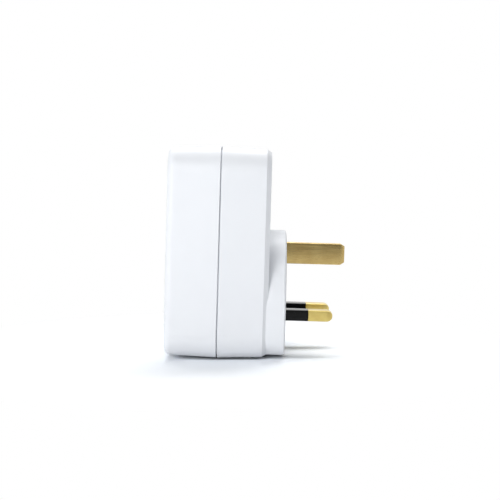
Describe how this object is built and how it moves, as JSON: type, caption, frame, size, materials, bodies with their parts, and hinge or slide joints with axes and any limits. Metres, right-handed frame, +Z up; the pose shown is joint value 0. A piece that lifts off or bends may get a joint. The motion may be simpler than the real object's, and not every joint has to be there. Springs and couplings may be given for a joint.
{
  "type": "usb plug-through adapter",
  "caption": "White boxy mains adapter with rectangular brass plug pins on the back, a shuttered pass-through socket and USB ports on the front.",
  "frame": {"origin": "on the plug face that meets the wall socket, midway between the line and neutral pins", "axes": "+Y along the pins towards the wall, +Z up towards the earth pin and the USB ports, +X to the right as seen from the front"},
  "size_m": [0.058, 0.0663, 0.0772],
  "materials": {
    "white_abs": "fine satin moulding",
    "pin_brass": "drawn and lightly polished",
    "black_nylon": "moulded, slight sheen",
    "sheet_brass": "stamped strip",
    "grey_nylon": "moulded",
    "shutter_plastic": "moulded",
    "spring_steel": "drawn wire",
    "board_laminate": "solder resist",
    "plated_steel": "bright nickel plate",
    "port_plastic": "moulded",
    "gilt_contact": "gold flash",
    "ferrite": "ground",
    "winding_tape": "polyester tape",
    "can_sleeve_black": "shrunk sleeve",
    "can_sleeve_green": "shrunk sleeve",
    "blue_coating": "dipped resin",
    "resistor_ceramic": "lacquered",
    "chip_resin": "moulded resin",
    "brown_pvc": "extruded",
    "blue_pvc": "extruded",
    "screw_steel": "zinc plated"
  },
  "bodies": {
    "adapter": {"front_cover": "white_abs", "rear_cover": "white_abs", "earth_pin": "pin_brass", "line_pin": "pin_brass", "neutral_pin": "pin_brass", "line_pin_sleeve": "black_nylon", "neutral_pin_sleeve": "black_nylon", "earth_contact": "sheet_brass", "line_contact": "sheet_brass", "neutral_contact": "sheet_brass", "contact_carrier": "grey_nylon", "shutter_spring": "spring_steel", "circuit_board": "board_laminate", "usb_shell_left": "plated_steel", "usb_shell_right": "plated_steel", "usb_tongue_left": "port_plastic", "usb_tongue_right": "port_plastic", "usb_contacts_left": "gilt_contact", "usb_contacts_right": "gilt_contact", "transformer_core": "ferrite", "transformer_winding": "winding_tape", "mains_capacitor": "can_sleeve_black", "output_capacitor": "can_sleeve_green", "safety_capacitor": "blue_coating", "input_choke": "ferrite", "fuse_resistor": "resistor_ceramic", "bridge_rectifier": "chip_resin", "controller_chip": "chip_resin", "line_wire": "brown_pvc", "neutral_wire": "blue_pvc", "casing_screws": "screw_steel", "carrier_screws": "screw_steel", "board_screws": "screw_steel"},
    "safety_shutter": {"shutter": "shutter_plastic"}
  },
  "joints": [
    {"name": "shutter_slide", "type": "slide", "parent": "adapter", "child": "safety_shutter", "axis": [0, 0, -1], "range_m": [0, 0.006], "stiffness_N_per_m": 120, "springref_m": -0.004, "deforming": ["shutter_spring"]}
  ]
}
